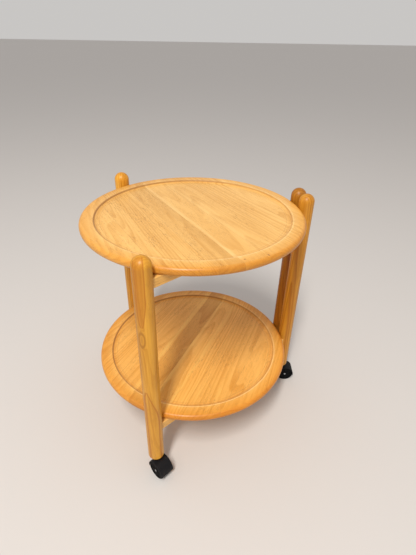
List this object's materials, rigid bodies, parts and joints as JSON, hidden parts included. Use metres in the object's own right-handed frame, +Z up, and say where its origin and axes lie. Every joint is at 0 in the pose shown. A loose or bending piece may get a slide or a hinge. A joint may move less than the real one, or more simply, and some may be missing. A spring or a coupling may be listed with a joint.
{
  "type": "folding serving trolley",
  "caption": "Round wooden serving trolley: equal top and lower trays with raised rims on a folding frame of round posts, rolling on twin-wheel casters.",
  "frame": {"origin": "on the floor, under the middle of the object's outer box", "axes": "+Z up; +X from the trays' axis towards the hinged pair of posts; -Y is the side of the front frame"},
  "size_m": [0.6282, 0.607, 0.665],
  "materials": {
    "tray_wood": "satin lacquered light hardwood, fine pores",
    "lower_tray_wood": "satin lacquered light hardwood, fine pores",
    "post_wood": "satin lacquered turned hardwood",
    "bar_wood": "satin lacquered hardwood",
    "hood_nylon": "matt moulded nylon with fine ribs",
    "wheel_nylon": "moulded nylon, worn tread",
    "steel": "plated steel",
    "brass": "brass-plated steel"
  },
  "bodies": {
    "front_frame": {"front_left_post": "post_wood", "front_right_post": "post_wood", "front_upper_bar": "bar_wood", "front_lower_bar": "bar_wood", "front_upper_hinge_leaf": "brass", "front_lower_hinge_leaf": "brass", "front_hinge_screws": "brass", "upper_hinge_pin": "brass", "lower_hinge_pin": "brass", "front_left_caster_socket": "steel", "front_right_caster_socket": "steel"},
    "rear_frame": {"rear_left_post": "post_wood", "rear_right_post": "post_wood", "rear_upper_bar": "bar_wood", "rear_lower_bar": "bar_wood", "rear_upper_hinge_leaf": "brass", "rear_lower_hinge_leaf": "brass", "rear_hinge_screws": "brass", "rear_left_caster_socket": "steel", "rear_right_caster_socket": "steel"},
    "top_tray": {"top_tray_board_1": "tray_wood", "top_tray_board_2": "tray_wood", "top_tray_board_3": "tray_wood", "top_tray_board_4": "tray_wood", "top_tray_board_5": "tray_wood", "top_tray_board_6": "tray_wood", "top_tray_board_7": "tray_wood"},
    "lower_tray": {"lower_tray_board_1": "lower_tray_wood", "lower_tray_board_2": "lower_tray_wood", "lower_tray_board_3": "lower_tray_wood", "lower_tray_board_4": "lower_tray_wood", "lower_tray_board_5": "lower_tray_wood", "lower_tray_board_6": "lower_tray_wood", "lower_tray_board_7": "lower_tray_wood"},
    "front_left_caster": {"front_left_caster_hood": "hood_nylon", "front_left_caster_stem": "steel", "front_left_caster_grip_ring": "steel", "front_left_caster_axle": "steel"},
    "front_left_near_wheel": {"front_left_caster_near_wheel": "wheel_nylon"},
    "front_left_far_wheel": {"front_left_caster_far_wheel": "wheel_nylon"},
    "front_right_caster": {"front_right_caster_hood": "hood_nylon", "front_right_caster_stem": "steel", "front_right_caster_grip_ring": "steel", "front_right_caster_axle": "steel"},
    "front_right_near_wheel": {"front_right_caster_near_wheel": "wheel_nylon"},
    "front_right_far_wheel": {"front_right_caster_far_wheel": "wheel_nylon"},
    "rear_left_caster": {"rear_left_caster_hood": "hood_nylon", "rear_left_caster_stem": "steel", "rear_left_caster_grip_ring": "steel", "rear_left_caster_axle": "steel"},
    "rear_left_near_wheel": {"rear_left_caster_near_wheel": "wheel_nylon"},
    "rear_left_far_wheel": {"rear_left_caster_far_wheel": "wheel_nylon"},
    "rear_right_caster": {"rear_right_caster_hood": "hood_nylon", "rear_right_caster_stem": "steel", "rear_right_caster_grip_ring": "steel", "rear_right_caster_axle": "steel"},
    "rear_right_near_wheel": {"rear_right_caster_near_wheel": "wheel_nylon"},
    "rear_right_far_wheel": {"rear_right_caster_far_wheel": "wheel_nylon"}
  },
  "joints": [
    {"name": "frame_fold", "type": "hinge", "parent": "front_frame", "child": "rear_frame", "pos_m": [0.25605, 0, 0.335], "axis": [0, 0, 1], "range_deg": [-15, 0]},
    {"name": "top_tray_lift", "type": "slide", "parent": "front_frame", "child": "top_tray", "axis": [0, 0, 1], "range_m": [0, 0.12]},
    {"name": "lower_tray_lift", "type": "slide", "parent": "front_frame", "child": "lower_tray", "axis": [0, 0, 1], "range_m": [0, 0.36]},
    {"name": "front_left_swivel", "type": "hinge", "parent": "front_frame", "child": "front_left_caster", "pos_m": [-0.19358, -0.25526, 0.06], "axis": [0, 0, 1], "continuous": true},
    {"name": "front_left_near_wheel_spin", "type": "hinge", "parent": "front_left_caster", "child": "front_left_near_wheel", "pos_m": [-0.18508, -0.26998, 0.025], "axis": [-0.866, -0.5, 0], "continuous": true},
    {"name": "front_left_far_wheel_spin", "type": "hinge", "parent": "front_left_caster", "child": "front_left_far_wheel", "pos_m": [-0.18508, -0.26998, 0.025], "axis": [-0.866, -0.5, 0], "continuous": true},
    {"name": "front_right_swivel", "type": "hinge", "parent": "front_frame", "child": "front_right_caster", "pos_m": [0.26604, -0.023, 0.06], "axis": [0, 0, 1], "range_deg": [-165, 0]},
    {"name": "front_right_near_wheel_spin", "type": "hinge", "parent": "front_right_caster", "child": "front_right_near_wheel", "pos_m": [0.28247, -0.0274, 0.025], "axis": [-0.2588, -0.9659, 0], "continuous": true},
    {"name": "front_right_far_wheel_spin", "type": "hinge", "parent": "front_right_caster", "child": "front_right_far_wheel", "pos_m": [0.28247, -0.0274, 0.025], "axis": [-0.2588, -0.9659, 0], "continuous": true},
    {"name": "rear_left_swivel", "type": "hinge", "parent": "rear_frame", "child": "rear_left_caster", "pos_m": [-0.19358, 0.25526, 0.06], "axis": [0, 0, 1], "continuous": true},
    {"name": "rear_left_near_wheel_spin", "type": "hinge", "parent": "rear_left_caster", "child": "rear_left_near_wheel", "pos_m": [-0.18508, 0.26998, 0.025], "axis": [0.866, -0.5, 0], "continuous": true},
    {"name": "rear_left_far_wheel_spin", "type": "hinge", "parent": "rear_left_caster", "child": "rear_left_far_wheel", "pos_m": [-0.18508, 0.26998, 0.025], "axis": [0.866, -0.5, 0], "continuous": true},
    {"name": "rear_right_swivel", "type": "hinge", "parent": "rear_frame", "child": "rear_right_caster", "pos_m": [0.26604, 0.023, 0.06], "axis": [0, 0, 1], "range_deg": [0, 165]},
    {"name": "rear_right_near_wheel_spin", "type": "hinge", "parent": "rear_right_caster", "child": "rear_right_near_wheel", "pos_m": [0.28247, 0.0274, 0.025], "axis": [0.2588, -0.9659, 0], "continuous": true},
    {"name": "rear_right_far_wheel_spin", "type": "hinge", "parent": "rear_right_caster", "child": "rear_right_far_wheel", "pos_m": [0.28247, 0.0274, 0.025], "axis": [0.2588, -0.9659, 0], "continuous": true}
  ]
}
